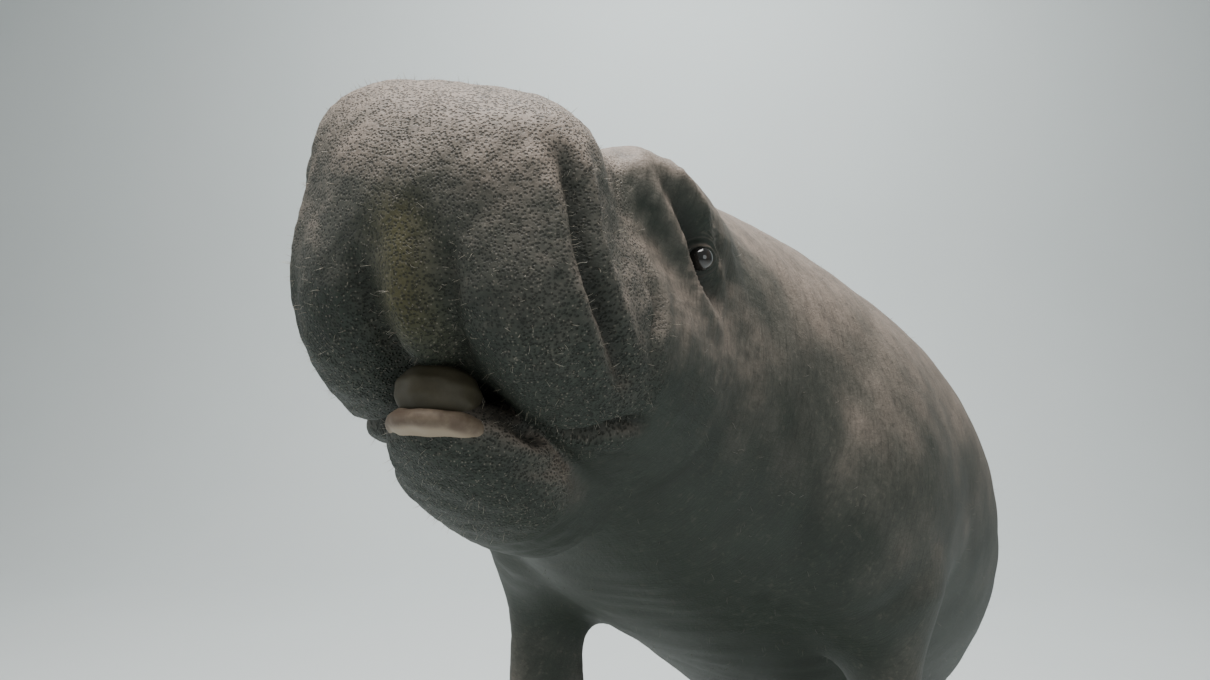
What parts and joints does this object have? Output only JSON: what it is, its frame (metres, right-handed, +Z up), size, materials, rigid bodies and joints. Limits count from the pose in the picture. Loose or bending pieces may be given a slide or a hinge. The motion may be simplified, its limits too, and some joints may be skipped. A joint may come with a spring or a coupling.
{
  "type": "life-size manatee display model",
  "caption": "Still, life-size model of a Florida manatee lifting its snout to breathe, tail lowered, held over a flat base by two plain rods.",
  "frame": {"origin": "centre of the flat underside of the display stand's base", "axes": "+Z up, -Y towards the snout, +X to the animal's left"},
  "size_m": [0.8908, 2.5782, 1.5608],
  "materials": {
    "skin": "matt wrinkled grey-brown skin, darker and greener underneath",
    "mouth_pad": "smooth damp pinkish-tan pad",
    "eye": "glossy near-black",
    "stand_base": "satin dark grey",
    "stand_rod": "brushed"
  },
  "bodies": {
    "root": {"nose_and_upper_lip": "skin", "head": "skin", "lower_jaw": "skin", "lower_lip_pad": "mouth_pad", "palate_pad": "mouth_pad", "eye_left": "eye", "eye_right": "eye", "neck": "skin", "chest": "skin", "belly": "skin", "tail_stock": "skin", "tail_paddle": "skin", "flipper_left": "skin", "flipper_right": "skin", "stand_base": "stand_base", "stand_rod_front": "stand_rod", "stand_rod_rear": "stand_rod"}
  },
  "joints": []
}
